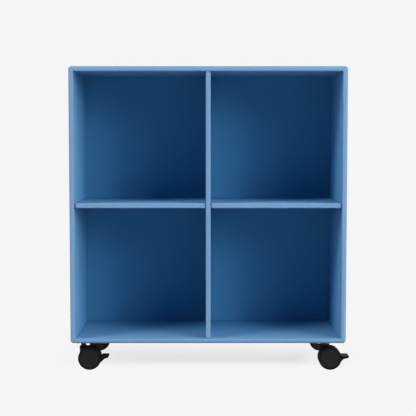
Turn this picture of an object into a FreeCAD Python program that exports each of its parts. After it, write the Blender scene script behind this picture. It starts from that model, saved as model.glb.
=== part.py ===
"""Open storage module: a mitred case of lacquered board with four compartments, on twin-wheel castors.

Millimetres. X points right as seen from the front, Y to the back and Z up. The origin lies on the
floor under the middle of the case. Every piece is written to parts/ under its own name.
"""

import FreeCAD
import Part
import math
import os

from FreeCAD import Vector

# Case
CASE_WIDTH = 696.0
CASE_HEIGHT = 696.0
CASE_DEPTH = 300.0
BOARD_THICKNESS = 12.0
FRONT_BEVEL = 4.5
CORNER_BEVEL = 5.5
EDGE_EASE = 0.8

# Back panel, held in a groove that runs round the case
BACK_THICKNESS = 8.0
BACK_INSET = 22.0
BACK_GROOVE_DEPTH = 5.0
GROOVE_CLEARANCE = 0.1

# Splines in the mitred corners
SPLINE_THICKNESS = 3.0
SPLINE_WIDTH = 8.0
SPLINE_FRONT_STOP = 12.0
SPLINE_BACK_STOP = 10.0
SPLINE_DEPTH_IN_MITRE = 5.0
SPLINE_END_ROOM = 0.5

# Centre divider and shelves
DIVIDER_THICKNESS = 12.0
DIVIDER_SETBACK = 2.0
DIVIDER_EDGE_RADIUS = 3.0
SHELF_THICKNESS = 12.0
SHELF_SETBACK = 4.0
SHELF_CORNER_RADIUS = 5.0
SHELF_EDGE_BEVEL = 1.5

# Dowels
DOWEL_DIAMETER = 6.0
DOWEL_IN_FACE = 8.0
DOWEL_IN_EDGE = 16.0
DOWEL_CLEARANCE = 0.05
DOWEL_END_ROOM = 0.5
DOWEL_FRONT_INSET = 45.0
DOWEL_BACK_INSET = 35.0
DIVIDER_DOWELS = 3
SHELF_DOWELS = 2

# Castor positions, from the case's outer faces to the castor plates' edges
PLATE_INSET_LEFT = 12.7
PLATE_INSET_RIGHT = 37.0
PLATE_INSET_FRONT = 14.0
PLATE_INSET_BACK = 14.0

# Castor wheels
WHEEL_DIAMETER = 58.5
WHEEL_WIDTH = 12.0
TYRE_THICKNESS = 5.0
TYRE_OUTER_ROUND = 4.0
TYRE_EDGE_LAND = 0.5
TYRE_INNER_BEVEL = 1.5
TYRE_SEAT_CLEARANCE = 0.02
HUB_DIAMETER = 14.0
RIM_THICKNESS = 3.0
WHEEL_FACE_THICKNESS = 3.0
WHEEL_FACE_RECESS = 0.8
WHEEL_INNER_RELIEF = 0.4
AXLE_DIAMETER = 6.0
AXLE_COVER = 2.0
AXLE_END_ROOM = 0.2
RUNNING_CLEARANCE = 0.05
SEAT_CLEARANCE = 0.02

# Castor housing and kingpin
TRAIL = 16.4
SIDE_CLEARANCE = 0.3
HOUSING_WALL = 2.65
NOSE_REACH = 10.0
HOUSING_RISE = 1.5
HOUSING_TOP_REACH = 8.0
HOUSING_TREAD_MARGIN = 2.85
HOUSING_FLOOR_GAP = 8.0
HOUSING_EASE = 0.6
NECK_DIAMETER = 12.8
NECK_LENGTH = 8.7
SWIVEL_GAP = 0.3
PIN_DIAMETER = 8.0
PIN_DEPTH = 26.0
PIN_END_ROOM = 1.0
RING_LIP = 0.9
RING_THICKNESS = 1.2
RING_GROOVE_DEPTH = 0.8
RING_ROOM = 0.35
RING_HEIGHT_ON_PIN = 4.0
RING_SPLIT = 2.0

# Castor plate and its screws
PLATE_SIZE = 34.0
PLATE_THICKNESS = 2.0
PLATE_CORNER_RADIUS = 4.0
PLATE_HOLE_INSET = 5.0
RIVET_DIAMETER = 9.0
SCREW_DIAMETER = 3.5
SCREW_LENGTH = 11.0
SCREW_HEAD_DIAMETER = 7.0
SCREW_HEAD_HEIGHT = 2.2
SCREW_HEAD_BEVEL = 1.0
SCREW_CLEARANCE = 0.05
SCREW_END_ROOM = 0.5

# Brake pedal
PEDAL_WIDTH = 37.0
PEDAL_LENGTH = 16.4
PEDAL_RISE = 6.5
PEDAL_TIP_THICKNESS = 4.4
PEDAL_TILT = 13.5
PEDAL_CORNER_RADIUS = 2.5
PEDAL_EDGE_RADIUS = 0.8
PEDAL_TRAVEL = 7.0
BRAKE_GAP = 2.0
PIVOT_ANGLE = 32.0
PIVOT_EDGE = 3.9
PIVOT_PIN_DIAMETER = 4.0
PEDAL_HUB_DIAMETER = 9.0
CHEEK_THICKNESS = 2.6
PEDAL_ROOM = 0.6
TONGUE_FOOT_ANGLE = -44.0
TONGUE_FOOT_MARGIN = 0.85
TONGUE_FOOT_RADIUS = 2.0
TONGUE_TOP_OVERLAP = 1.0
TONGUE_TOP_DROP = 3.0

# Places worked out from the sizes above
WHEEL_RADIUS = WHEEL_DIAMETER / 2
HOUSING_TOP = WHEEL_DIAMETER + HOUSING_RISE
NECK_BOTTOM = HOUSING_TOP + SWIVEL_GAP
PLATE_BOTTOM = NECK_BOTTOM + NECK_LENGTH
CASE_BOTTOM = PLATE_BOTTOM + PLATE_THICKNESS
CASE_MIDDLE = CASE_BOTTOM + CASE_HEIGHT / 2
CASE_FRONT = -CASE_DEPTH / 2
CASE_BACK = CASE_DEPTH / 2
BACK_PANEL_BACK = CASE_BACK - BACK_INSET
BACK_PANEL_FRONT = BACK_PANEL_BACK - BACK_THICKNESS
INNER_HALF_WIDTH = CASE_WIDTH / 2 - BOARD_THICKNESS
INNER_HALF_HEIGHT = CASE_HEIGHT / 2 - BOARD_THICKNESS
HOUSING_HALF_WIDTH = PIN_DIAMETER / 2 + RUNNING_CLEARANCE + HOUSING_WALL
WHEEL_GAP = 2 * (HOUSING_HALF_WIDTH + SIDE_CLEARANCE)
RING_DIAMETER = PIN_DIAMETER + 2 * RING_LIP
TONGUE_HALF_WIDTH = HOUSING_HALF_WIDTH - CHEEK_THICKNESS - SIDE_CLEARANCE
HOUSING_RADIUS = WHEEL_RADIUS - HOUSING_TREAD_MARGIN
PIN_BOTTOM = NECK_BOTTOM - PIN_DEPTH
AXIS_X = Vector(1, 0, 0)
AXIS_Y = Vector(0, 1, 0)
AXIS_Z = Vector(0, 0, 1)
ORIGIN = Vector(0, 0, 0)
TOLERANCE = 1e-3


def box(low, high):
    """Return the box between two corners."""
    size = [b - a for a, b in zip(low, high)]
    return Part.makeBox(size[0], size[1], size[2], Vector(*low))


def rod(diameter, start, axis, length):
    """Return a cylinder that starts at a point and runs along an axis."""
    return Part.makeCylinder(diameter / 2, length, Vector(*start), axis)


def ring(outer, inner, start, axis, length):
    """Return a tube of two diameters."""
    return rod(outer, start, axis, length).cut(rod(inner, start, axis, length))


def across(diameter, x, z, length):
    """Return a rod along Y, centred on the castor's middle plane."""
    return rod(diameter, (x, -length / 2, z), AXIS_Y, length)


def prism(points, along):
    """Return the solid swept by a closed outline along a vector."""
    corners = [Vector(*p) for p in points]
    return Part.Face(Part.makePolygon(corners + corners[:1])).extrude(along)


def upright(outline, half_width):
    """Return an XZ outline given thickness to both sides of the plane y = 0."""
    points = [(x, -half_width, z) for x, z in outline]
    return prism(points, Vector(0, 2 * half_width, 0))


def joined(shapes):
    """Return several shapes fused into one, with their shared faces merged."""
    return shapes[0].fuse(shapes[1:]).removeSplitter()


def edges_where(shape, test):
    """Return the shape's edges whose bounding box passes a test."""
    return [e for e in shape.Edges if test(e.BoundBox)]


def near(a, b):
    """Tell whether two lengths agree."""
    return abs(a - b) < TOLERANCE


def moved(shape, x, y, z):
    """Return a copy of a shape carried to another place."""
    return shape.translated(Vector(x, y, z))


def spread(first, last, count):
    """Return places evenly spaced from the first to the last."""
    return [first + (last - first) * i / (count - 1) for i in range(count)]


def save(name, shape):
    """Write one piece, or one group of like pieces, to its own file."""
    shape.exportStep(os.path.join("parts", name + ".step"))


def case_board(length):
    """Return a case board along X: outer face at z = 0, mitred ends, bevelled front, back groove."""
    half = length / 2
    section = [
        (-half, CASE_FRONT + FRONT_BEVEL, 0),
        (-half, CASE_BACK - EDGE_EASE, 0),
        (-half, CASE_BACK, -EDGE_EASE),
        (-half, CASE_BACK, -BOARD_THICKNESS),
        (-half, CASE_FRONT + EDGE_EASE, -BOARD_THICKNESS),
        (-half, CASE_FRONT, -BOARD_THICKNESS + EDGE_EASE),
        (-half, CASE_FRONT, -FRONT_BEVEL),
    ]
    right = [
        (half - CORNER_BEVEL, 0),
        (half - CORNER_BEVEL / 2, -CORNER_BEVEL / 2),
        (half - BOARD_THICKNESS, -BOARD_THICKNESS),
    ]
    outline = right + [(-x, z) for x, z in reversed(right)]
    board = prism(section, Vector(length, 0, 0)).common(upright(outline, CASE_DEPTH))
    groove = box(
        (-half, BACK_PANEL_FRONT - GROOVE_CLEARANCE, -BOARD_THICKNESS),
        (half, BACK_PANEL_BACK + GROOVE_CLEARANCE, BACK_GROOVE_DEPTH - BOARD_THICKNESS),
    )
    return board.cut(groove)


def spline_strip(thickness, width, end_room):
    """Return a strip along Y that lies across a mitre, its middle on the Y axis."""
    start = CASE_FRONT + SPLINE_FRONT_STOP - end_room
    end = BACK_PANEL_FRONT - SPLINE_BACK_STOP + end_room
    strip = box((-width / 2, start, -thickness / 2), (width / 2, end, thickness / 2))
    strip.rotate(ORIGIN, AXIS_Y, 45)
    return strip


def corner_splines(thickness, width, end_room):
    """Return the four splines, or with room added the slots that take them."""
    strips = []
    for side_x in (-1, 1):
        for side_z in (-1, 1):
            strip = spline_strip(thickness, width, end_room)
            if side_x == side_z:
                strip.rotate(ORIGIN, AXIS_Y, 90)
            x = side_x * (INNER_HALF_WIDTH + SPLINE_DEPTH_IN_MITRE)
            z = CASE_MIDDLE + side_z * (INNER_HALF_HEIGHT + SPLINE_DEPTH_IN_MITRE)
            strips.append(moved(strip, x, 0, z))
    return strips


def back_panel():
    """Return the back panel, which stands in the groove of all four case boards."""
    reach = BACK_GROOVE_DEPTH - GROOVE_CLEARANCE
    half_width = INNER_HALF_WIDTH + reach
    half_height = INNER_HALF_HEIGHT + reach
    return box(
        (-half_width, BACK_PANEL_FRONT, CASE_MIDDLE - half_height),
        (half_width, BACK_PANEL_BACK, CASE_MIDDLE + half_height),
    )


def centre_divider():
    """Return the divider: full height, its front edge and front corners rounded."""
    front = CASE_FRONT + DIVIDER_SETBACK
    half = DIVIDER_THICKNESS / 2
    panel = box(
        (-half, front, CASE_MIDDLE - INNER_HALF_HEIGHT),
        (half, BACK_PANEL_FRONT, CASE_MIDDLE + INNER_HALF_HEIGHT),
    )
    corners = edges_where(panel, lambda b: near(b.YMax, front) and b.XLength > half)
    panel = panel.makeFillet(DIVIDER_EDGE_RADIUS, corners)
    limit = front + DIVIDER_EDGE_RADIUS + TOLERANCE
    rim = edges_where(panel, lambda b: b.XLength < TOLERANCE and b.YMax < limit)
    return panel.makeFillet(DIVIDER_EDGE_RADIUS, rim)


def shelf(side):
    """Return the shelf of one side, with rounded front corners and bevelled front edges."""
    front = CASE_FRONT + SHELF_SETBACK
    inner = DIVIDER_THICKNESS / 2
    ends = sorted((side * inner, side * INNER_HALF_WIDTH))
    low = CASE_MIDDLE - SHELF_THICKNESS / 2
    board = box((ends[0], front, low), (ends[1], BACK_PANEL_FRONT, low + SHELF_THICKNESS))
    corners = edges_where(board, lambda b: near(b.YMax, front) and b.ZLength > SHELF_THICKNESS / 2)
    board = board.makeFillet(SHELF_CORNER_RADIUS, corners)
    limit = front + SHELF_CORNER_RADIUS + TOLERANCE
    rim = edges_where(board, lambda b: b.ZLength < TOLERANCE and b.YMax < limit)
    return board.makeChamfer(SHELF_EDGE_BEVEL, rim)


def dowel_rows(count):
    """Return the depths at which a row of dowels stands."""
    return spread(CASE_FRONT + DOWEL_FRONT_INSET, BACK_PANEL_FRONT - DOWEL_BACK_INSET, count)


def divider_dowels(diameter, room):
    """Return the dowels from the top and bottom panels into the divider."""
    length = DOWEL_IN_FACE + DOWEL_IN_EDGE + 2 * room
    dowels = []
    for y in dowel_rows(DIVIDER_DOWELS):
        low = CASE_MIDDLE - INNER_HALF_HEIGHT - DOWEL_IN_FACE - room
        high = CASE_MIDDLE + INNER_HALF_HEIGHT + DOWEL_IN_FACE + room
        dowels.append(rod(diameter, (0, y, low), AXIS_Z, length))
        dowels.append(rod(diameter, (0, y, high), -AXIS_Z, length))
    return dowels


def shelf_end_dowels(diameter, room):
    """Return the dowels from the side panels into the shelves."""
    length = DOWEL_IN_FACE + DOWEL_IN_EDGE + 2 * room
    reach = INNER_HALF_WIDTH + DOWEL_IN_FACE + room
    dowels = []
    for y in dowel_rows(SHELF_DOWELS):
        dowels.append(rod(diameter, (-reach, y, CASE_MIDDLE), AXIS_X, length))
        dowels.append(rod(diameter, (reach, y, CASE_MIDDLE), -AXIS_X, length))
    return dowels


def shelf_through_dowels(diameter, room):
    """Return the dowels that pass through the divider and join the two shelves."""
    reach = DIVIDER_THICKNESS / 2 + DOWEL_IN_EDGE + room
    rows = dowel_rows(SHELF_DOWELS)
    return [rod(diameter, (-reach, y, CASE_MIDDLE), AXIS_X, 2 * reach) for y in rows]


def screw_places():
    """Return the screw positions on a castor plate, from the swivel axis."""
    half = PLATE_SIZE / 2 - PLATE_HOLE_INSET
    return [(x, y) for x in (-half, half) for y in (-half, half)]


def screw_shank(diameter, room):
    """Return a screw's shank, which rises from the castor plate's underside."""
    return rod(diameter, (0, 0, PLATE_BOTTOM), AXIS_Z, SCREW_LENGTH + room)


def screw():
    """Return a screw, its bevelled head under the castor plate."""
    head_bottom = PLATE_BOTTOM - SCREW_HEAD_HEIGHT
    head = rod(SCREW_HEAD_DIAMETER, (0, 0, head_bottom), AXIS_Z, SCREW_HEAD_HEIGHT)
    crown = edges_where(head, lambda b: near(b.ZMax, head_bottom))
    return joined([head.makeChamfer(SCREW_HEAD_BEVEL, crown), screw_shank(SCREW_DIAMETER, 0)])


def castor_plate():
    """Return the top plate, with its rivet hole and screw holes."""
    half = PLATE_SIZE / 2
    plate = box((-half, -half, PLATE_BOTTOM), (half, half, CASE_BOTTOM))
    uprights = edges_where(plate, lambda b: b.ZLength > PLATE_THICKNESS / 2)
    plate = plate.makeFillet(PLATE_CORNER_RADIUS, uprights)
    hole = RIVET_DIAMETER + 2 * SEAT_CLEARANCE
    holes = [rod(hole, (0, 0, PLATE_BOTTOM), AXIS_Z, PLATE_THICKNESS)]
    for x, y in screw_places():
        holes.append(rod(SCREW_DIAMETER + 2 * SCREW_CLEARANCE, (x, y, PLATE_BOTTOM), AXIS_Z, PLATE_THICKNESS))
    return plate.cut(holes)


def kingpin():
    """Return the kingpin: riveted through the plate, with a neck, a pin and a groove for its ring."""
    rivet = rod(RIVET_DIAMETER, (0, 0, PLATE_BOTTOM), AXIS_Z, PLATE_THICKNESS)
    neck = rod(NECK_DIAMETER, (0, 0, NECK_BOTTOM), AXIS_Z, NECK_LENGTH)
    pin = rod(PIN_DIAMETER, (0, 0, PIN_BOTTOM), AXIS_Z, PIN_DEPTH)
    groove_start = (0, 0, PIN_BOTTOM + RING_HEIGHT_ON_PIN)
    groove = ring(NECK_DIAMETER, PIN_DIAMETER - 2 * RING_GROOVE_DEPTH, groove_start, AXIS_Z, RING_THICKNESS)
    return joined([rivet, neck, pin]).cut(groove)


def retaining_ring():
    """Return the split ring that sits in the kingpin's groove."""
    inner = PIN_DIAMETER - 2 * RING_GROOVE_DEPTH + 2 * RUNNING_CLEARANCE
    start = (0, 0, PIN_BOTTOM + RING_HEIGHT_ON_PIN)
    whole = ring(RING_DIAMETER, inner, start, AXIS_Z, RING_THICKNESS)
    half = RING_SPLIT / 2
    split = box((0, -half, start[2]), (RING_DIAMETER, half, start[2] + RING_THICKNESS))
    return whole.cut(split)


def pivot_place():
    """Return the brake pivot's x and z from the axle."""
    reach = HOUSING_RADIUS - PIVOT_EDGE
    angle = math.radians(PIVOT_ANGLE)
    return reach * math.cos(angle), reach * math.sin(angle)


def tongue_foot():
    """Return the lower inner corner of the pedal's tongue, from the axle."""
    reach = WHEEL_RADIUS - TONGUE_FOOT_MARGIN
    angle = math.radians(TONGUE_FOOT_ANGLE)
    return reach * math.cos(angle), reach * math.sin(angle)


def slot_wall():
    """Return how far from the axle the pedal's slot begins, clear of the pedal over its travel."""
    pivot_x, pivot_z = pivot_place()
    foot_x, foot_z = tongue_foot()
    turn = math.radians(PEDAL_TRAVEL)
    pressed = pivot_x + (foot_x - pivot_x) * math.cos(turn) + (foot_z - pivot_z) * math.sin(turn)
    return min(pressed, pivot_x - PEDAL_HUB_DIAMETER / 2) - PEDAL_ROOM


def housing_side():
    """Return the housing's side outline as a solid: a disc about the axle joined to the stem's block.

    The block starts ahead of the nose, so that the plan alone shapes the nose.
    """
    rise = HOUSING_TOP - WHEEL_RADIUS
    back = TRAIL - HOUSING_TOP_REACH
    reach = math.hypot(back, rise)
    angle = math.atan2(rise, -back) - math.acos(HOUSING_RADIUS / reach)
    tangent = (HOUSING_RADIUS * math.cos(angle), HOUSING_RADIUS * math.sin(angle))
    start = -TRAIL - 2 * NOSE_REACH
    block = upright([(start, 0), (start, rise), (-back, rise), tangent, (0, 0)], HOUSING_HALF_WIDTH)
    disc = rod(2 * HOUSING_RADIUS, (0, -HOUSING_HALF_WIDTH, 0), AXIS_Y, 2 * HOUSING_HALF_WIDTH)
    return moved(joined([block, disc]), TRAIL, 0, WHEEL_RADIUS)


def housing_plan():
    """Return the housing's plan as a solid: straight sides, a half-round nose and an eased top edge."""
    top = HOUSING_TOP
    nose = HOUSING_HALF_WIDTH - NOSE_REACH
    reach = TRAIL + WHEEL_DIAMETER
    straight = box((nose, -HOUSING_HALF_WIDTH, HOUSING_FLOOR_GAP), (reach, HOUSING_HALF_WIDTH, top))
    end = rod(2 * HOUSING_HALF_WIDTH, (nose, 0, HOUSING_FLOOR_GAP), AXIS_Z, top - HOUSING_FLOOR_GAP)
    block = joined([straight, end])
    return block.makeChamfer(HOUSING_EASE, edges_where(block, lambda b: near(b.ZMin, top)))


def castor_housing(braked):
    """Return a castor's moulded housing; a braked one is slotted for the pedal's tongue."""
    body = housing_side().common(housing_plan())
    bore_bottom = PIN_BOTTOM - PIN_END_ROOM
    bore_diameter = PIN_DIAMETER + 2 * RUNNING_CLEARANCE
    bore = rod(bore_diameter, (0, 0, bore_bottom), AXIS_Z, HOUSING_TOP - bore_bottom)
    ring_low = PIN_BOTTOM + RING_HEIGHT_ON_PIN - RING_ROOM
    ring_room = rod(RING_DIAMETER + 2 * RING_ROOM, (0, 0, ring_low), AXIS_Z, RING_THICKNESS + 2 * RING_ROOM)
    axle_hole = across(AXLE_DIAMETER + 2 * SEAT_CLEARANCE, TRAIL, WHEEL_RADIUS, WHEEL_GAP)
    cuts = [bore, ring_room, axle_hole]
    if braked:
        pivot_x, pivot_z = pivot_place()
        half = TONGUE_HALF_WIDTH + SIDE_CLEARANCE
        roof = pivot_z + PEDAL_HUB_DIAMETER / 2 + PEDAL_ROOM
        cuts.append(
            box(
                (TRAIL + slot_wall(), -half, 0),
                (TRAIL + WHEEL_DIAMETER, half, WHEEL_RADIUS + roof),
            )
        )
        pin_hole = PIVOT_PIN_DIAMETER + 2 * SEAT_CLEARANCE
        cuts.append(across(pin_hole, TRAIL + pivot_x, WHEEL_RADIUS + pivot_z, WHEEL_GAP))
    return body.cut(cuts)


def axle():
    """Return the axle, which ends inside both wheels."""
    reach = WHEEL_WIDTH - WHEEL_FACE_RECESS - AXLE_COVER - AXLE_END_ROOM
    return across(AXLE_DIAMETER, TRAIL, WHEEL_RADIUS, WHEEL_GAP + 2 * reach)


def tyre():
    """Return the far wheel's tyre: outer edge rounded, inner edge bevelled."""
    start = (TRAIL, WHEEL_GAP / 2, WHEEL_RADIUS)
    band = ring(WHEEL_DIAMETER, WHEEL_DIAMETER - 2 * TYRE_THICKNESS, start, AXIS_Y, WHEEL_WIDTH)
    tread = WHEEL_DIAMETER - TYRE_THICKNESS
    outer = edges_where(band, lambda b: near(b.YMin, WHEEL_GAP / 2 + WHEEL_WIDTH) and b.ZLength > tread)
    band = band.makeFillet(min(TYRE_OUTER_ROUND, TYRE_THICKNESS - TYRE_EDGE_LAND), outer)
    inner = edges_where(band, lambda b: near(b.YMax, WHEEL_GAP / 2) and b.ZLength > tread)
    return band.makeChamfer(TYRE_INNER_BEVEL, inner)


def wheel_core():
    """Return the far wheel's core: a closed outer face, a rim under the tyre and a hub on the axle."""
    inner_face = WHEEL_GAP / 2 + WHEEL_INNER_RELIEF
    outer_face = WHEEL_GAP / 2 + WHEEL_WIDTH - WHEEL_FACE_RECESS
    diameter = WHEEL_DIAMETER - 2 * TYRE_THICKNESS - 2 * TYRE_SEAT_CLEARANCE
    start = (TRAIL, inner_face, WHEEL_RADIUS)
    disc = rod(diameter, start, AXIS_Y, outer_face - inner_face)
    hollow_depth = outer_face - inner_face - WHEEL_FACE_THICKNESS
    hollow = ring(diameter - 2 * RIM_THICKNESS, HUB_DIAMETER, start, AXIS_Y, hollow_depth)
    bore_diameter = AXLE_DIAMETER + 2 * RUNNING_CLEARANCE
    bore_depth = outer_face - inner_face - AXLE_COVER
    bore = rod(bore_diameter, start, AXIS_Y, bore_depth)
    return disc.cut([hollow, bore])


def brake_pedal():
    """Return the pedal: a wedge behind the treads, on a tongue that hinges between the wheels."""
    pivot_x, pivot_z = pivot_place()
    hub_radius = PEDAL_HUB_DIAMETER / 2
    foot = tongue_foot()
    pad = WHEEL_RADIUS + BRAKE_GAP
    tip = pad + PEDAL_LENGTH
    slope = math.tan(math.radians(PEDAL_TILT))
    under = PEDAL_RISE - PEDAL_TIP_THICKNESS - tip * slope
    edge_x = (foot[0] - foot[1] + under) / (1 - slope)
    edge = (edge_x, under + edge_x * slope)
    top = (pad + TONGUE_TOP_OVERLAP, PEDAL_RISE - TONGUE_TOP_DROP)
    outline = [(pivot_x - hub_radius, pivot_z), foot, edge, top, (pivot_x, pivot_z + hub_radius)]
    tongue = upright(outline, TONGUE_HALF_WIDTH)
    at_foot = edges_where(tongue, lambda b: near(b.XMax, foot[0]) and near(b.ZMax, foot[1]))
    tongue = tongue.makeFillet(TONGUE_FOOT_RADIUS, at_foot)
    hub = across(PEDAL_HUB_DIAMETER, pivot_x, pivot_z, 2 * TONGUE_HALF_WIDTH)
    start = pad - PEDAL_RISE
    wedge = [(start, under + start * slope), (tip, under + tip * slope), (tip, PEDAL_RISE), (start, PEDAL_RISE)]
    plate = upright(wedge, PEDAL_WIDTH / 2)
    corners = edges_where(plate, lambda b: near(b.XMin, tip) and b.ZLength > PEDAL_TIP_THICKNESS / 2)
    plate = plate.makeFillet(PEDAL_CORNER_RADIUS, corners)
    upper = edges_where(plate, lambda b: near(b.ZMin, PEDAL_RISE) and b.XMax > start + TOLERANCE)
    lower = edges_where(plate, lambda b: b.ZMax < PEDAL_RISE - TOLERANCE and b.XMax > start + TOLERANCE)
    plate = plate.makeFillet(PEDAL_EDGE_RADIUS, upper + lower)
    plate = plate.cut(across(2 * pad, 0, 0, 2 * PEDAL_WIDTH))
    hole = across(PIVOT_PIN_DIAMETER + 2 * RUNNING_CLEARANCE, pivot_x, pivot_z, PEDAL_WIDTH)
    return moved(joined([tongue, hub, plate]).cut(hole), TRAIL, 0, WHEEL_RADIUS)


def pivot_pin():
    """Return the pedal's pivot pin, which ends flush with the housing's cheeks."""
    pivot_x, pivot_z = pivot_place()
    return across(PIVOT_PIN_DIAMETER, TRAIL + pivot_x, WHEEL_RADIUS + pivot_z, 2 * HOUSING_HALF_WIDTH)


def mirrored(shape):
    """Return the near wheel's copy of a far wheel's piece."""
    return shape.mirror(ORIGIN, AXIS_Y)


def castor_places():
    """Return each castor's name, its swivel axis and whether it has a brake."""
    half = PLATE_SIZE / 2
    left = -CASE_WIDTH / 2 + PLATE_INSET_LEFT + half
    right = CASE_WIDTH / 2 - PLATE_INSET_RIGHT - half
    front = CASE_FRONT + PLATE_INSET_FRONT + half
    back = CASE_BACK - PLATE_INSET_BACK - half
    return [
        ("front_left", left, front, True),
        ("front_right", right, front, True),
        ("back_left", left, back, False),
        ("back_right", right, back, False),
    ]


def build_case():
    """Write the case: boards, back, divider, shelves, splines, dowels and the castors' screws."""
    slots = corner_splines(
        SPLINE_THICKNESS + 2 * GROOVE_CLEARANCE,
        SPLINE_WIDTH + 2 * GROOVE_CLEARANCE,
        SPLINE_END_ROOM,
    )
    hole = DOWEL_DIAMETER + 2 * DOWEL_CLEARANCE
    divider_holes = divider_dowels(hole, DOWEL_END_ROOM)
    shelf_holes = shelf_end_dowels(hole, DOWEL_END_ROOM)
    through_holes = shelf_through_dowels(hole, DOWEL_END_ROOM)
    screws = []
    screw_holes = []
    for _, x, y, _ in castor_places():
        for screw_x, screw_y in screw_places():
            screws.append(moved(screw(), x + screw_x, y + screw_y, 0))
            pilot = screw_shank(SCREW_DIAMETER + 2 * SCREW_CLEARANCE, SCREW_END_ROOM)
            screw_holes.append(moved(pilot, x + screw_x, y + screw_y, 0))
    boards = [
        ("top_panel", CASE_WIDTH, 0, (0, 0, CASE_HEIGHT / 2), divider_holes),
        ("right_side_panel", CASE_HEIGHT, 90, (CASE_WIDTH / 2, 0, 0), shelf_holes),
        ("bottom_panel", CASE_WIDTH, 180, (0, 0, -CASE_HEIGHT / 2), divider_holes + screw_holes),
        ("left_side_panel", CASE_HEIGHT, 270, (-CASE_WIDTH / 2, 0, 0), shelf_holes),
    ]
    for name, length, turn, place, holes in boards:
        board = case_board(length)
        board.rotate(ORIGIN, AXIS_Y, turn)
        board.translate(Vector(*place) + Vector(0, 0, CASE_MIDDLE))
        save(name, board.cut(slots + holes))
    save("back_panel", back_panel())
    save("centre_divider", centre_divider().cut(divider_holes + through_holes))
    save("left_shelf", shelf(-1).cut(shelf_holes + through_holes))
    save("right_shelf", shelf(1).cut(shelf_holes + through_holes))
    save("corner_splines", Part.makeCompound(corner_splines(SPLINE_THICKNESS, SPLINE_WIDTH, 0)))
    save("divider_dowels", Part.makeCompound(divider_dowels(DOWEL_DIAMETER, 0)))
    save("shelf_end_dowels", Part.makeCompound(shelf_end_dowels(DOWEL_DIAMETER, 0)))
    save("shelf_through_dowels", Part.makeCompound(shelf_through_dowels(DOWEL_DIAMETER, 0)))
    save("castor_screws", Part.makeCompound(screws))


def build_castors():
    """Write the four castors, each a plate, kingpin and ring, a housing with its axle, and two wheels."""
    wheels = {"wheel": wheel_core(), "tyre": tyre()}
    rings = []
    for name, x, y, braked in castor_places():
        save(name + "_castor_plate", moved(castor_plate(), x, y, 0))
        save(name + "_kingpin", moved(kingpin(), x, y, 0))
        save(name + "_castor_housing", moved(castor_housing(braked), x, y, 0))
        save(name + "_axle", moved(axle(), x, y, 0))
        rings.append(moved(retaining_ring(), x, y, 0))
        for piece, shape in wheels.items():
            save(name + "_far_" + piece, moved(shape, x, y, 0))
            save(name + "_near_" + piece, moved(mirrored(shape), x, y, 0))
        if braked:
            save(name + "_brake_pedal", moved(brake_pedal(), x, y, 0))
            save(name + "_pedal_pin", moved(pivot_pin(), x, y, 0))
    save("kingpin_rings", Part.makeCompound(rings))


os.makedirs("parts", exist_ok=True)
build_case()
build_castors()
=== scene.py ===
"""Looks of the open storage module: a lacquered case on twin-wheel castors, in soft studio light.

Lengths are metres in the part's own frame. X points right as seen from the open front, Y to the back
and Z up, with the floor at z = 0. The sizes of small pieces are written in millimetres, times MM.
"""

import logging
import math
from dataclasses import dataclass, field
from enum import Enum

import bmesh
import bpy
import numpy as np
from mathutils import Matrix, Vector


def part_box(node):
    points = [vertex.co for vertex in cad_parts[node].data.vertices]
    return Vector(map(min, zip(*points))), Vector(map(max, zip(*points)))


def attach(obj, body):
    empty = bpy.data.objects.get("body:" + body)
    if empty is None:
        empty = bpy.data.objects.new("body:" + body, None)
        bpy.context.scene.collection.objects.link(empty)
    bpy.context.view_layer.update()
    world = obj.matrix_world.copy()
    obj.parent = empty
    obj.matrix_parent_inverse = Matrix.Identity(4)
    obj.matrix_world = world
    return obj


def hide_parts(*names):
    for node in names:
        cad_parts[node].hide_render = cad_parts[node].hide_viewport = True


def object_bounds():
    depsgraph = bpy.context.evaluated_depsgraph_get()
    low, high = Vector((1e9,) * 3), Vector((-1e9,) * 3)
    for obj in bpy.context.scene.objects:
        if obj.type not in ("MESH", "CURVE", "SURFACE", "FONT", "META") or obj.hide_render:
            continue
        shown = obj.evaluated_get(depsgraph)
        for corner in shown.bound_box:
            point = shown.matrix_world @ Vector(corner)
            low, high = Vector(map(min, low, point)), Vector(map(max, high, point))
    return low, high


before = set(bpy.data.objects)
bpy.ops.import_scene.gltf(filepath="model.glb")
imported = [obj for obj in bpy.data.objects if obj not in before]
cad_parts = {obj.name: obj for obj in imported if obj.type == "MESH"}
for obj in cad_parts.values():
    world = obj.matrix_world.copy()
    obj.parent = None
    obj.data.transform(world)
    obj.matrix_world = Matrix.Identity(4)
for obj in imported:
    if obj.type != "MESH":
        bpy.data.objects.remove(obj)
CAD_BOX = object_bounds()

MM = 0.001
LOG = logging.getLogger("storage_module")
Colour = tuple[float, float, float, float]
Inputs = dict[str | int, object]
# A Mix node has sockets of the same name for each type of value, so those for colour go by number.
MIX_SHARE, MIX_FROM, MIX_TO, MIX_RESULT = 0, 6, 7, 2
# How many finer layers the noise has that drifts between two tones, and the one that makes the relief.
DRIFT_DETAIL, RELIEF_DETAIL = 3.0, 1.0
# Points of a surface that lie as near as this are one point.
MERGE_WITHIN = 0.0001 * MM


class Corner(Enum):
    """The place of a castor under the case."""

    FRONT_LEFT = "front_left"
    FRONT_RIGHT = "front_right"
    BACK_LEFT = "back_left"
    BACK_RIGHT = "back_right"


class Side(Enum):
    """A wheel of a castor's pair; the value is the way along Y in which its face looks."""

    NEAR = -1
    FAR = 1


class Grain(Enum):
    """The way in which a wooden piece's fibres run; the value is the axis's index."""

    ALONG_X = 0
    ALONG_Y = 1
    ALONG_Z = 2


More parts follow.
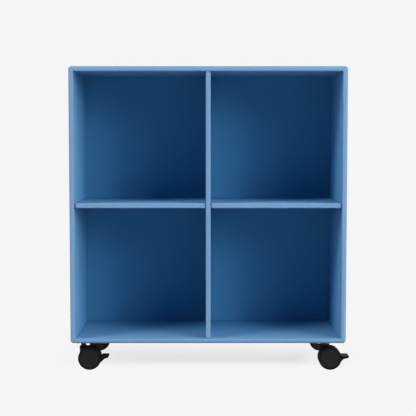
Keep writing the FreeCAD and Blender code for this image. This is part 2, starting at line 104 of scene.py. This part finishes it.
def linear(code: str) -> Colour:
    """Turn an sRGB hex colour into linear light.

    Args:
        code: the colour as "#rrggbb".

    Returns:
        Red, green, blue and an alpha of 1.
    """
    shares = [int(code[i : i + 2], 16) / 255 for i in (1, 3, 5)]
    light = [s / 12.92 if s <= 0.04045 else ((s + 0.055) / 1.055) ** 2.4 for s in shares]
    return (*light, 1.0)


def add_node(
    tree: bpy.types.NodeTree,
    kind: str,
    inputs: Inputs | None = None,
    **settings: object,
) -> bpy.types.Node:
    """Add a node, with its settings, its values and its links.

    Args:
        tree: the node tree that takes it.
        kind: the node's type after "ShaderNode".
        inputs: for each input a value, or an output socket to link from.
        settings: the node's own properties.

    Returns:
        The new node.
    """
    node = tree.nodes.new("ShaderNode" + kind)
    for name, value in settings.items():
        setattr(node, name, value)
    for name, value in (inputs or {}).items():
        if isinstance(value, bpy.types.NodeSocket):
            tree.links.new(value, node.inputs[name])
        else:
            node.inputs[name].default_value = value
    return node


def per_metre(size_mm: float) -> float:
    """Return the texture scale whose pattern repeats about every size_mm."""
    return 1 / (size_mm * MM)


@dataclass(frozen=True)
class Finish:
    """A surface with two tones, a range of roughness and a fine relief.

    Fields:
        name: the real material and how its surface was made.
        light, dark: the two tones between which the colour drifts, as sRGB hex.
        drift_mm: how far apart the tones lie.
        rough: the smoothest and the roughest patches.
        relief_mm: the spacing of the surface's fine relief.
        relief_depth_mm: the height of that relief.
        metallic: 1 for bare metal.
        specular: the strength of the reflection at normal view, 0.5 for an IOR of 1.5.
    """

    name: str
    light: str
    dark: str
    drift_mm: float
    rough: tuple[float, float]
    relief_mm: float
    relief_depth_mm: float
    metallic: float = 0.0
    specular: float = 0.5

    def stretch(self) -> tuple[float, float, float]:
        """Return how the pattern is drawn out along X, Y and Z."""
        return (1.0, 1.0, 1.0)

    def tinted(
        self,
        tree: bpy.types.NodeTree,
        place: bpy.types.Node,
        drift: bpy.types.NodeSocket,
    ) -> bpy.types.NodeSocket:
        """Mix the two tones; a finish with more to its colour adds to it here.

        Args:
            tree: the material's nodes.
            place: the texture coordinates.
            drift: the noise that mixes the tones.

        Returns:
            The surface's colour.
        """
        tone = add_node(
            tree,
            "Mix",
            {MIX_SHARE: drift, MIX_FROM: linear(self.dark), MIX_TO: linear(self.light)},
            data_type="RGBA",
        )
        return tone.outputs[MIX_RESULT]

    def material(self) -> bpy.types.Material:
        """Build the finish as a node material on Object coordinates.

        Returns:
            The new material.
        """
        made = bpy.data.materials.new(self.name)
        made.use_nodes = True
        tree = made.node_tree
        shader = tree.nodes["Principled BSDF"]
        shader.inputs["Metallic"].default_value = self.metallic
        shader.inputs["Specular IOR Level"].default_value = self.specular
        place = add_node(tree, "TexCoord")
        drawn = add_node(tree, "Mapping", {"Vector": place.outputs["Object"], "Scale": self.stretch()})
        where = drawn.outputs["Vector"]
        drift = add_node(
            tree,
            "TexNoise",
            {"Vector": where, "Scale": per_metre(self.drift_mm), "Detail": DRIFT_DETAIL},
        )
        patches = add_node(
            tree,
            "MapRange",
            {"Value": drift.outputs[0], "To Min": self.rough[0], "To Max": self.rough[1]},
        )
        relief = add_node(
            tree,
            "TexNoise",
            {"Vector": where, "Scale": per_metre(self.relief_mm), "Detail": RELIEF_DETAIL},
        )
        bump = add_node(
            tree,
            "Bump",
            {"Height": relief.outputs[0], "Distance": self.relief_depth_mm * MM, "Strength": 1.0},
        )
        tree.links.new(self.tinted(tree, place, drift.outputs[0]), shader.inputs["Base Color"])
        tree.links.new(patches.outputs["Result"], shader.inputs["Roughness"])
        tree.links.new(bump.outputs["Normal"], shader.inputs["Normal"])
        return made


@dataclass(frozen=True)
class Timber(Finish):
    """Wood, whose pattern is drawn out along its fibres.

    Fields:
        grain: the way in which the fibres run.
        fibre_ratio: the pattern's scale along them, as a share of its scale across.
    """

    grain: Grain = Grain.ALONG_X
    fibre_ratio: float = 0.08

    def stretch(self) -> tuple[float, float, float]:
        """Draw the pattern out along the fibres.

        Returns:
            The stretch along X, Y and Z.
        """
        ratios = [1.0, 1.0, 1.0]
        ratios[self.grain.value] = self.fibre_ratio
        return tuple(ratios)


@dataclass(frozen=True)
class Lacquer(Finish):
    """Sprayed lacquer with painted shade deep inside the case and a painted sheen on the boards' front edges.

    Fields:
        unshaded_light, unshaded_dark: the paler tones outside and near the open front, as sRGB hex.
        shade_span: where along Y, inside, the painted shade's deeper tones begin and are full, in metres.
        edge_sheen: the paler tone of the faces of the boards' front edges, a painted sheen, as sRGB hex.
        facing: how squarely a surface looks to the front where the edges' tone begins and is full.
        skin: how far within the case's outer faces the inside begins, about half a board's thickness.
    """

    unshaded_light: str = "#ffffff"
    unshaded_dark: str = "#ffffff"
    shade_span: tuple[float, float] = (-0.15, 0.06)
    edge_sheen: str = "#ffffff"
    facing: tuple[float, float] = (0.35, 0.70)
    skin: float = 6.0 * MM

    def inside(self, tree: bpy.types.NodeTree, lies: bpy.types.Node) -> bpy.types.NodeSocket:
        """Tell how deep inside the case a place lies.

        Args:
            tree: the material's nodes.
            lies: the place's coordinates.

        Returns:
            0 outside and at the open front, rising to 1 where the painted shade is full.
        """
        near, far = self.shade_span
        depth = add_node(
            tree,
            "MapRange",
            {"Value": lies.outputs["Y"], "From Min": near, "From Max": far},
            interpolation_type="SMOOTHSTEP",
        ).outputs["Result"]
        back_low, back_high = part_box("back_panel")
        for axis, limit, test in (
            ("X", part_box("left_side_panel")[0].x + self.skin, "GREATER_THAN"),
            ("X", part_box("right_side_panel")[1].x - self.skin, "LESS_THAN"),
            ("Z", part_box("bottom_panel")[0].z + self.skin, "GREATER_THAN"),
            ("Z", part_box("top_panel")[1].z - self.skin, "LESS_THAN"),
            ("Y", (back_low.y + back_high.y) / 2, "LESS_THAN"),
        ):
            within = add_node(tree, "Math", {0: lies.outputs[axis], 1: limit}, operation=test)
            both = add_node(tree, "Math", {0: depth, 1: within.outputs[0]}, operation="MULTIPLY")
            depth = both.outputs[0]
        return depth

    def tinted(
        self,
        tree: bpy.types.NodeTree,
        place: bpy.types.Node,
        drift: bpy.types.NodeSocket,
    ) -> bpy.types.NodeSocket:
        """Mix in the painted shade's deeper tones, and lay a painted sheen over what looks to the front.

        Args:
            tree: the material's nodes.
            place: the texture coordinates.
            drift: the noise that mixes each pair of tones.

        Returns:
            The tone of faces and edges.
        """
        lies = add_node(tree, "SeparateXYZ", {0: place.outputs["Object"]})
        # Deep inside the case the tone turns deeper than outside and near the open front: painted shade.
        shade_tone = super().tinted(tree, place, drift)
        unshaded_tone = add_node(
            tree,
            "Mix",
            {MIX_SHARE: drift, MIX_FROM: linear(self.unshaded_dark), MIX_TO: linear(self.unshaded_light)},
            data_type="RGBA",
        )
        faces = add_node(
            tree,
            "Mix",
            {MIX_SHARE: self.inside(tree, lies), MIX_FROM: unshaded_tone.outputs[MIX_RESULT], MIX_TO: shade_tone},
            data_type="RGBA",
        )
        # Faces that look squarely to the front, ahead of the middle, take a paler tone: a painted sheen.
        looks = add_node(tree, "SeparateXYZ", {0: place.outputs["Normal"]})
        begins, full = self.facing
        square = add_node(
            tree,
            "MapRange",
            {"Value": looks.outputs["Y"], "From Min": -begins, "From Max": -full},
        )
        # The back panel looks to the front too, but it lies behind the middle.
        ahead = add_node(tree, "Math", {0: lies.outputs["Y"], 1: 0.0}, operation="LESS_THAN")
        share = add_node(
            tree,
            "Math",
            {0: square.outputs["Result"], 1: ahead.outputs[0]},
            operation="MULTIPLY",
        )
        laid = add_node(
            tree,
            "Mix",
            {MIX_SHARE: share.outputs[0], MIX_FROM: faces.outputs[MIX_RESULT], MIX_TO: linear(self.edge_sheen)},
            data_type="RGBA",
        )
        return laid.outputs[MIX_RESULT]


# Sprayed matt lacquer on fibreboard: an even blue with a faint orange peel and a pale bloom at low angles.
# Deep inside the case its light and dark tones hold, deeper than outside and near the open front: painted
# shade. The faces of the front edges that look to the front take a paler tone: a painted sheen.
LACQUER = Lacquer(
    name="matt_lacquer_on_fibreboard",
    light="#4f97c6",
    dark="#4b93c2",
    drift_mm=160,
    rough=(0.92, 1.0),
    relief_mm=2.4,
    relief_depth_mm=0.006,
    unshaded_light="#659bc8",
    unshaded_dark="#6197c4",
    edge_sheen="#79a1cb",
)
# The grain of moulds and of plating, and the pores of wood, are finer than 0.1 mm. In the finishes below they
# are drawn several times coarser, because they wouldn't show at their real size.
#
# Moulded nylon with a spark-eroded grain: near black, with a broad dull sheen.
NYLON = Finish(
    name="moulded_black_nylon",
    light="#161616",
    dark="#111111",
    drift_mm=12,
    rough=(0.58, 0.72),
    relief_mm=0.5,
    relief_depth_mm=0.02,
    specular=0.1,
)
# Moulded polypropylene, smoother than the nylon: a flat dark grey disc.
WHEEL_PLASTIC = Finish(
    name="moulded_black_polypropylene",
    light="#1f1f1f",
    dark="#1b1b1b",
    drift_mm=14,
    rough=(0.46, 0.58),
    relief_mm=0.7,
    relief_depth_mm=0.008,
    specular=0.15,
)
# Soft thermoplastic rubber: duller and darker than the core, dusty in patches.
TREAD_RUBBER = Finish(
    name="black_thermoplastic_rubber",
    light="#131313",
    dark="#0d0d0d",
    drift_mm=9,
    rough=(0.62, 0.82),
    relief_mm=0.4,
    relief_depth_mm=0.02,
    specular=0.12,
)
# Black powder coat: a dense fine orange peel that breaks up every highlight.
POWDER_COAT = Finish(
    name="black_powder_coat_on_steel",
    light="#121212",
    dark="#0e0e0e",
    drift_mm=10,
    rough=(0.50, 0.62),
    relief_mm=0.8,
    relief_depth_mm=0.03,
    specular=0.2,
)
# Bright zinc plate: a cool pale metal, its polish broken by cloudy passivation.
ZINC = Finish(
    name="bright_zinc_plate",
    light="#c9ccd0",
    dark="#b4b8be",
    drift_mm=3,
    rough=(0.24, 0.40),
    relief_mm=0.3,
    relief_depth_mm=0.003,
    metallic=1.0,
)
# Oiled spring steel: darker and greyer than the zinc.
SPRING_STEEL = Finish(
    name="oiled_spring_steel",
    light="#85837f",
    dark="#6d6b68",
    drift_mm=2,
    rough=(0.28, 0.42),
    relief_mm=0.3,
    relief_depth_mm=0.003,
    metallic=1.0,
)


def beech(grain: Grain) -> Timber:
    """Give planed beech, pale and pinkish with short darker flecks along its fibres.

    Args:
        grain: the way in which the fibres run.

    Returns:
        The finish.
    """
    return Timber(
        name="planed_beech_" + grain.name.lower(),
        light="#d3ab7d",
        dark="#bb8d60",
        drift_mm=2.2,
        rough=(0.55, 0.70),
        relief_mm=0.5,
        relief_depth_mm=0.02,
        specular=0.3,
        grain=grain,
    )


def dress(piece: bpy.types.Object, material: bpy.types.Material) -> None:
    """Give a piece one material in place of those that it has."""
    piece.data.materials.clear()
    piece.data.materials.append(material)


def dress_solid(node: str, material: bpy.types.Material) -> None:
    """Give a solid that stays its material, and report it."""
    dress(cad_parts[node], material)
    LOG.info("%s: %s", node, material.name)


def put_in_place(
    piece: bpy.types.Object,
    body: str,
    node: str,
    material: bpy.types.Material,
) -> None:
    """Dress a new piece, let it ride on a body in place of a plain solid, and report it.

    Args:
        piece: the new piece.
        body: the body that it moves with.
        node: the solid that it stands for.
        material: what it is made of.
    """
    dress(piece, material)
    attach(piece, body)
    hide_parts(node)
    LOG.info("%s: %s, %d faces", piece.name, material.name, len(piece.data.polygons))


def arc(centre: tuple[float, float], radius: float, start: float, end: float, steps: int) -> np.ndarray:
    """Return points on an arc: the centre plus the radius times (cos a, sin a), for even steps of a.

    Args:
        centre: the arc's centre in the profile's plane.
        radius: the arc's radius.
        start, end: the first and last angle in degrees.
        steps: how many steps lie between them.

    Returns:
        An array of (steps + 1, 2).
    """
    turn = np.radians(np.linspace(start, end, steps + 1))
    return np.column_stack((centre[0] + radius * np.cos(turn), centre[1] + radius * np.sin(turn)))


def turned(profile: np.ndarray, columns: int) -> np.ndarray:
    """Carry a profile of (radius, height) once round the axis.

    Formula: at turn a the point (r, h) lies at (r cos a, r sin a, h).

    Args:
        profile: the profile's points, (rows, 2).
        columns: how many steps the turn has.

    Returns:
        The surface's points, (rows, columns, 3).
    """
    turn = np.linspace(0, 2 * math.pi, columns, endpoint=False)
    radius, height = profile[:, :1], profile[:, 1:]
    flat = np.zeros((1, columns))
    return np.stack((radius * np.cos(turn), radius * np.sin(turn), height + flat), axis=-1)


def facing_y(points: np.ndarray, way: int) -> np.ndarray:
    """Turn a surface's axis from Z to +Y or -Y: (x, y, z) goes to (x, way * z, y)."""
    return np.stack((points[..., 0], way * points[..., 2], points[..., 1]), axis=-1)


def surface(name: str, points: np.ndarray, ring: bool, sharp_deg: float = 35.0) -> bpy.types.Object:
    """Make an object from one or more grids of points that close round their columns.

    Args:
        name: the piece's name.
        points: (rows, columns, 3), or (copies, rows, columns, 3).
        ring: whether the last row meets the first again, as on a tyre.
        sharp_deg: edges that turn by more than this stay sharp.

    Returns:
        The new object, its poles closed and its faces pointing outwards.
    """
    grids = points[None] if points.ndim == 3 else points
    copies, rows, columns, _ = grids.shape
    index = np.arange(copies * rows * columns).reshape(copies, rows, columns)
    onward = np.roll(index, -1, axis=2)
    if ring:
        below, below_onward = np.roll(index, -1, axis=1), np.roll(onward, -1, axis=1)
    else:
        index, onward, below, below_onward = index[:, :-1], onward[:, :-1], index[:, 1:], onward[:, 1:]
    faces = np.stack((index, onward, below_onward, below), axis=-1).reshape(-1, 4)
    mesh = bpy.data.meshes.new(name)
    mesh.from_pydata(grids.reshape(-1, 3).tolist(), [], faces.tolist())
    shaped = bmesh.new()
    shaped.from_mesh(mesh)
    bmesh.ops.remove_doubles(shaped, verts=shaped.verts, dist=MERGE_WITHIN)
    bmesh.ops.recalc_face_normals(shaped, faces=shaped.faces)
    shaped.to_mesh(mesh)
    shaped.free()
    mesh.polygons.foreach_set("use_smooth", np.ones(len(mesh.polygons), dtype=bool))
    mesh.set_sharp_from_angle(angle=math.radians(sharp_deg))
    made = bpy.data.objects.new(name, mesh)
    bpy.context.scene.collection.objects.link(made)
    return made


@dataclass
class Case:
    """The lacquered case with its hidden splines and dowels; all its solids are already right."""

    boards: tuple[str, ...] = (
        "top_panel",
        "bottom_panel",
        "left_side_panel",
        "right_side_panel",
        "back_panel",
        "centre_divider",
        "left_shelf",
        "right_shelf",
    )
    joints: tuple[tuple[str, Grain], ...] = (
        ("corner_splines", Grain.ALONG_Y),
        ("divider_dowels", Grain.ALONG_Z),
        ("shelf_end_dowels", Grain.ALONG_X),
        ("shelf_through_dowels", Grain.ALONG_X),
    )

    def dress(self) -> None:
        """Lacquer the boards and give the joints' wood its grain."""
        lacquer = LACQUER.material()
        for board in self.boards:
            dress_solid(board, lacquer)
        wood = {grain: beech(grain).material() for grain in Grain}
        for joint, grain in self.joints:
            dress_solid(joint, wood[grain])


@dataclass
class Wheel:
    """One wheel of a castor: a core with a closed face, and a tyre round it.

    Fields:
        corner, side: the castor, and the wheel of its pair.
        tyre_thickness: from the seat on the core to the tread.
        shoulder_radius, inner_bevel: the tyre's outer round, and its inner bevel.
        lip_depth: the small step down from the tyre's outer side to the core.
        seam_width, seam_depth: the moulding seam round the tread.
        face_recess, inner_relief: how far the core stands back from the tyre outside and inside.
        face_thickness, rim_thickness, rim_bevel: the core's walls, and the bevel between them.
        dish_depth, dish_share: the dish in the core's face, and the share of its radius that it takes up.
        hub_radius, bore_radius, bore_cover: the hub, its bore and what closes the bore outside.
        seat_gap: the fine gap between core and tyre.
        columns, face_rows, shoulder_steps: how finely the surfaces are divided.
        body, tyre_node: the names of the wheel and of its tyre in the frame.
        radius, width, centre: the tyre's size, and the middle of its inner face.
    """

    corner: Corner
    side: Side
    tyre_thickness: float = 5.0 * MM
    shoulder_radius: float = 4.0 * MM
    inner_bevel: float = 1.5 * MM
    lip_depth: float = 0.5 * MM
    seam_width: float = 0.5 * MM
    seam_depth: float = 0.12 * MM
    face_recess: float = 0.8 * MM
    inner_relief: float = 0.4 * MM
    face_thickness: float = 3.0 * MM
    rim_thickness: float = 3.0 * MM
    rim_bevel: float = 0.6 * MM
    dish_depth: float = 0.7 * MM
    dish_share: float = 0.86
    hub_radius: float = 7.0 * MM
    bore_radius: float = 3.05 * MM
    bore_cover: float = 2.0 * MM
    seat_gap: float = 0.02 * MM
    columns: int = 144
    face_rows: int = 28
    shoulder_steps: int = 14
    body: str = field(init=False)
    tyre_node: str = field(init=False)
    radius: float = field(init=False)
    width: float = field(init=False)
    centre: np.ndarray = field(init=False)

    def __post_init__(self) -> None:
        """Read the wheel's place, radius and width from the frame."""
        self.body = f"{self.corner.value}_{self.side.name.lower()}_wheel"
        self.tyre_node = f"{self.corner.value}_{self.side.name.lower()}_tyre"
        low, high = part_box(self.tyre_node)
        self.radius = (high.z - low.z) / 2
        self.width = high.y - low.y
        inner_face = low.y if self.side is Side.FAR else high.y
        self.centre = np.array(((low.x + high.x) / 2, inner_face, (low.z + high.z) / 2))

    def placed(self, profile: np.ndarray) -> np.ndarray:
        """Turn a profile of (radius, distance from the inner face) about the wheel's axle."""
        return facing_y(turned(profile, self.columns), self.side.value) + self.centre

    def tyre_profile(self) -> np.ndarray:
        """Work out the tyre's closed section.

        Formula: from the seat out along the inner side, over the bevel, across the tread with its moulding
        seam, round the shoulder as a quarter circle and down the outer side to a lip beside the core.

        Returns:
            Points of (radius, distance from the inner face).
        """
        seat, tread, width = self.radius - self.tyre_thickness, self.radius, self.width
        middle = (self.inner_bevel + width - self.shoulder_radius) / 2
        half = self.seam_width / 2
        inner = [(seat, 0), (tread - self.inner_bevel, 0), (tread, self.inner_bevel)]
        seam = [(tread, middle - half), (tread - self.seam_depth, middle), (tread, middle + half)]
        turns_about = (tread - self.shoulder_radius, width - self.shoulder_radius)
        shoulder = arc(turns_about, self.shoulder_radius, 0, 90, self.shoulder_steps)
        lip = [(seat + self.lip_depth, width), (seat, width - self.lip_depth)]
        return np.vstack((inner, seam, shoulder, lip))

    def core_profile(self) -> np.ndarray:
        """Work out the core's section from the face's middle round to the end of the bore.

        Formula: across the dished face, whose depth falls as the square of the cosine from the middle to the
        rim, over the rim's bevel, back along the seat, then round the hollow and the hub into the bore.

        Returns:
            Points of (radius, distance from the inner face).
        """
        rim = self.radius - self.tyre_thickness - self.seat_gap
        face, back = self.width - self.face_recess, self.inner_relief
        floor, tip = face - self.face_thickness, face - self.bore_cover
        hollow = rim - self.rim_thickness
        out = np.linspace(0, rim - self.rim_bevel, self.face_rows)
        dish = self.dish_depth * np.cos(np.clip(out / (self.dish_share * rim), 0, 1) * math.pi / 2) ** 2
        front = np.column_stack((out, face - dish))
        rest = [
            (rim, face - self.rim_bevel),
            (rim, back),
            (hollow, back),
            (hollow, floor),
            (self.hub_radius, floor),
            (self.hub_radius, back),
            (self.bore_radius, back),
            (self.bore_radius, tip),
            (0, tip),
        ]
        return np.vstack((front, rest))

    def build(self, rubber: bpy.types.Material, plastic: bpy.types.Material) -> None:
        """Make the tyre and the core in place of their plain solids, and let them ride on the wheel.

        Args:
            rubber: the tyre's material.
            plastic: the core's material.
        """
        tyre = surface(self.tyre_node + "_moulded", self.placed(self.tyre_profile()), ring=True)
        put_in_place(tyre, self.body, self.tyre_node, rubber)
        core = surface(self.body + "_moulded", self.placed(self.core_profile()), ring=False)
        put_in_place(core, self.body, self.body, plastic)


@dataclass
class PlateScrews:
    """The pan-head screws that hold the castor plates under the case.

    Fields:
        hole_inset: how far a hole lies from both edges of its plate.
        head_radius, head_height: the head.
        crown_radius: the radius of the sphere that its dome is cut from.
        crown_share: the share of the head's radius that the dome takes up.
        rim_start_deg: the angle at which the steep rim takes over from the dome.
        shank_radius, length: the shank, pointed at its end.
        slot_half_width, slot_reach, slot_depth: the bars of the cross recess.
        slot_slope: how far the recess's walls lean over.
        columns, crown_rows, rim_steps: how finely the surface is divided.
    """

    hole_inset: float = 5.0 * MM
    head_radius: float = 3.5 * MM
    head_height: float = 2.2 * MM
    crown_radius: float = 5.2 * MM
    crown_share: float = 0.86
    rim_start_deg: float = 60.0
    shank_radius: float = 1.75 * MM
    length: float = 11.0 * MM
    slot_half_width: float = 0.5 * MM
    slot_reach: float = 2.0 * MM
    slot_depth: float = 1.2 * MM
    slot_slope: float = 0.22 * MM
    columns: int = 96
    crown_rows: int = 26
    rim_steps: int = 6

    def places(self) -> np.ndarray:
        """Find where each screw's head meets its plate.

        Returns:
            The points, (16, 3).
        """
        found = []
        for corner in Corner:
            low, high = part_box(corner.value + "_castor_plate")
            for x in (low.x + self.hole_inset, high.x - self.hole_inset):
                for y in (low.y + self.hole_inset, high.y - self.hole_inset):
                    found.append((x, y, low.z))
        return np.array(found)

    def shape(self) -> np.ndarray:
        """Work out one screw, its head below z = 0 and its shank above.

        Formula: the crown is a shallow dome that ends in a steep rim. The cross recess lowers it where the
        point lies near one of two crossing bars, with walls that slope over a short way.

        Returns:
            The surface's points, (rows, columns, 3).
        """
        crown = self.head_radius * self.crown_share
        out = np.linspace(0, crown, self.crown_rows)
        dome = self.head_height - (self.crown_radius - np.sqrt(self.crown_radius**2 - out**2))
        rim = arc((crown, 0), self.head_radius - crown, self.rim_start_deg, 0, self.rim_steps)
        rim[:, 1] *= dome[-1] / rim[0, 1]
        shank = [
            (self.head_radius, 0),
            (self.shank_radius, 0),
            (self.shank_radius, self.shank_radius - self.length),
            (0, -self.length),
        ]
        points = turned(np.vstack((np.column_stack((out, dome)), rim, shank)), self.columns)
        x, y = np.abs(points[: len(out), :, 0]), np.abs(points[: len(out), :, 1])
        side = np.clip((self.slot_half_width - np.minimum(x, y)) / self.slot_slope + 1, 0, 1)
        end = np.clip((self.slot_reach - np.maximum(x, y)) / self.slot_slope, 0, 1)
        points[: len(out), :, 2] -= self.slot_depth * np.minimum(side, end)
        return points * np.array((1, 1, -1))

    def build(self, zinc: bpy.types.Material) -> None:
        """Make all the screws as one piece in place of their plain solids.

        Args:
            zinc: the screws' material.
        """
        made = self.shape()[None] + self.places()[:, None, None]
        piece = surface("castor_screws_cross_recessed", made, ring=False)
        put_in_place(piece, "case", "castor_screws", zinc)


@dataclass
class Castors:
    """The four twin-wheel castors and what holds them to the case.

    Fields:
        braked: the castors that have a brake pedal.
    """

    braked: tuple[Corner, ...] = (Corner.FRONT_LEFT, Corner.FRONT_RIGHT)

    def build(self) -> None:
        """Build the wheels and screws, and dress the solids that stay."""
        nylon, coat, zinc = NYLON.material(), POWDER_COAT.material(), ZINC.material()
        rubber, plastic = TREAD_RUBBER.material(), WHEEL_PLASTIC.material()
        dress_solid("kingpin_rings", SPRING_STEEL.material())
        for corner in Corner:
            wear = {"castor_plate": coat, "kingpin": coat, "castor_housing": nylon, "axle": zinc}
            if corner in self.braked:
                wear |= {"brake_pedal": nylon, "pedal_pin": zinc}
            for solid, material in wear.items():
                dress_solid(f"{corner.value}_{solid}", material)
            for side in Side:
                Wheel(corner, side).build(rubber, plastic)
        PlateScrews().build(zinc)


@dataclass(frozen=True)
class Lamp:
    """An oval soft box that looks at the case's middle.

    Fields:
        name: where it stands.
        azimuth: degrees to the right of the open front's middle line.
        elevation: degrees above the case's middle.
        power: watts.
        width, height: the box's size in metres.
        distance: metres from the case's middle.
    """

    name: str
    azimuth: float
    elevation: float
    power: float
    width: float = 3.6
    height: float = 3.6
    distance: float = 9.0

    def hang(self, aim: Vector) -> None:
        """Hang the lamp and point it at a place.

        Args:
            aim: the place.
        """
        turn, rise = math.radians(self.azimuth), math.radians(self.elevation)
        away = Vector((math.sin(turn) * math.cos(rise), -math.cos(turn) * math.cos(rise), math.sin(rise)))
        light = bpy.data.lights.new(self.name, "AREA")
        light.shape = "ELLIPSE"
        light.size, light.size_y = self.width, self.height
        light.energy = self.power
        lamp = bpy.data.objects.new(self.name, light)
        lamp.location = aim + away * self.distance
        lamp.visible_camera = False
        lamp.rotation_euler = (-away).to_track_quat("-Z", "Y").to_euler()
        bpy.context.scene.collection.objects.link(lamp)


@dataclass
class Studio:
    """The floor, the lamps, the pale surroundings and the camera.

    Fields:
        lamps: the soft boxes.
        pale: the background's colour, as sRGB hex.
        ambient: the strength of the surroundings as a light.
        mirrored_from: how far to the rear a reflection looks, as the Y of its direction, where it begins to
            show the background and where it shows all of it.
        floor_bounce, floor_shown: the floor's colour as a source of bounced light and in its shadow.
        floor_radius, floor_gap, floor_rows, floor_columns: the floor's disc, just below the wheels.
        shadow_share: how much of the lamps' own shadow the floor shows.
        shadow_side, shadow_front, shadow_back: where that share begins and is full, to either side of the
            middle and along Y.
        camera_place, camera_pitch_deg, camera_yaw_deg, lens_mm, sensor_mm: the photograph's viewing point.
    """

    lamps: tuple[Lamp, ...] = (
        Lamp("right_low", 50, 12, 306),
        Lamp("right_middle", 35, 26, 102),
        Lamp("right_high", 65, 38, 389, width=6.8),
        Lamp("front_high", 0, 56, 34),
        Lamp("left_low", -60, 12, 102),
        Lamp("left_high", -60, 40, 349),
        Lamp("rear_left", -115, 15, 280),
        Lamp("rear_right", 140, 15, 390),
    )
    pale: str = "#f5f5f5"
    ambient: float = 0.02
    mirrored_from: tuple[float, float] = (-0.1, 0.5)
    floor_bounce: str = "#aeaeae"
    floor_shown: str = "#f0f0f0"
    floor_radius: float = 9.0
    floor_gap: float = 0.2 * MM
    floor_rows: int = 25
    floor_columns: int = 64
    shadow_share: float = 0.2
    shadow_side: tuple[float, float] = (0.43, 0.23)
    shadow_front: tuple[float, float] = (-0.11, -0.01)
    shadow_back: tuple[float, float] = (0.28, 0.03)
    camera_place: tuple[float, float, float] = (-0.0017, -2.660, 0.5745)
    camera_pitch_deg: float = 3.664
    camera_yaw_deg: float = 0.029
    lens_mm: float = 86.94
    sensor_mm: float = 36.0

    def set_up(self) -> None:
        """Set up the whole studio round the case."""
        bpy.context.scene.view_settings.view_transform = "Standard"
        low, high = CAD_BOX
        for lamp in self.lamps:
            lamp.hang((low + high) / 2)
        self.surround()
        self.lay_floor()
        self.place_camera()

    def surround(self) -> None:
        """Make the surroundings: pale to the eye and in reflections, dim as a light."""
        world = bpy.data.worlds.new("studio")
        world.use_nodes = True
        bpy.context.scene.world = world
        tree = world.node_tree
        tree.nodes.clear()
        path = add_node(tree, "LightPath")
        place = add_node(tree, "TexCoord")
        axes = add_node(tree, "SeparateXYZ", {0: place.outputs["Generated"]})
        begins, full = self.mirrored_from
        behind = add_node(
            tree,
            "MapRange",
            {"Value": axes.outputs["Y"], "From Min": begins, "From Max": full},
        )
        mirrored = add_node(
            tree,
            "Math",
            {0: path.outputs["Is Glossy Ray"], 1: behind.outputs["Result"]},
            operation="MULTIPLY",
        )
        seen = path.outputs["Is Camera Ray"]
        for ray in (path.outputs["Is Transmission Ray"], mirrored.outputs[0]):
            seen = add_node(tree, "Math", {0: seen, 1: ray}, operation="MAXIMUM").outputs[0]
        dim = add_node(tree, "Background", {"Color": (1, 1, 1, 1), "Strength": self.ambient})
        pale = add_node(tree, "Background", {"Color": linear(self.pale), "Strength": 1.0})
        mixed = add_node(tree, "MixShader", {0: seen, 1: dim.outputs[0], 2: pale.outputs[0]})
        add_node(tree, "OutputWorld", {"Surface": mixed.outputs[0]})

    def lay_floor(self) -> None:
        """Lay a pale floor that keeps the object's shadow and fades into the surroundings."""
        rings = np.linspace(0, self.floor_radius, self.floor_rows)
        disc = turned(np.column_stack((rings, np.full_like(rings, -self.floor_gap))), self.floor_columns)
        floor = surface("floor", disc, ring=False)
        made = bpy.data.materials.new("matt_pale_floor")
        made.use_nodes = True
        tree = made.node_tree
        tree.nodes.clear()
        place = add_node(tree, "TexCoord")
        axes = add_node(tree, "SeparateXYZ", {0: place.outputs["Object"]})
        away = add_node(tree, "Math", {0: axes.outputs["X"]}, operation="ABSOLUTE")
        # Each ramp scales the share that the one before it gives.
        share: float | bpy.types.NodeSocket = self.shadow_share
        for along, (none, full) in (
            (away.outputs[0], self.shadow_side),
            (axes.outputs["Y"], self.shadow_front),
            (axes.outputs["Y"], self.shadow_back),
        ):
            ramp = add_node(
                tree,
                "MapRange",
                {"Value": along, "From Min": none, "From Max": full, "To Max": share},
                interpolation_type="SMOOTHSTEP",
            )
            share = ramp.outputs["Result"]
        bounce = add_node(tree, "BsdfDiffuse", {"Color": linear(self.floor_bounce)})
        lit = add_node(tree, "BsdfDiffuse", {"Color": linear(self.floor_shown)})
        glow = add_node(tree, "Emission", {"Color": linear(self.pale), "Strength": 1.0})
        shown = add_node(tree, "MixShader", {0: share, 1: glow.outputs[0], 2: lit.outputs[0]})
        path = add_node(tree, "LightPath")
        seen = path.outputs["Is Camera Ray"]
        for ray in ("Is Transmission Ray", "Is Glossy Ray"):
            seen = add_node(tree, "Math", {0: seen, 1: path.outputs[ray]}, operation="MAXIMUM").outputs[0]
        mixed = add_node(tree, "MixShader", {0: seen, 1: bounce.outputs[0], 2: shown.outputs[0]})
        add_node(tree, "OutputMaterial", {"Surface": mixed.outputs[0]})
        dress(floor, made)

    def place_camera(self) -> None:
        """Place the camera at the photograph's viewing point."""
        lens = bpy.data.cameras.new("camera")
        lens.lens = self.lens_mm
        lens.sensor_width = self.sensor_mm
        camera = bpy.data.objects.new("camera", lens)
        camera.location = self.camera_place
        turn = math.radians(-self.camera_yaw_deg)
        camera.rotation_euler = (math.radians(90 - self.camera_pitch_deg), 0, turn)
        bpy.context.scene.collection.objects.link(camera)
        bpy.context.scene.camera = camera


def main() -> None:
    """Dress the case, build the castors and set up the studio."""
    logging.basicConfig(level=logging.INFO, format="%(message)s")
    Case().dress()
    Castors().build()
    Studio().set_up()


if __name__ == "__main__":
    main()
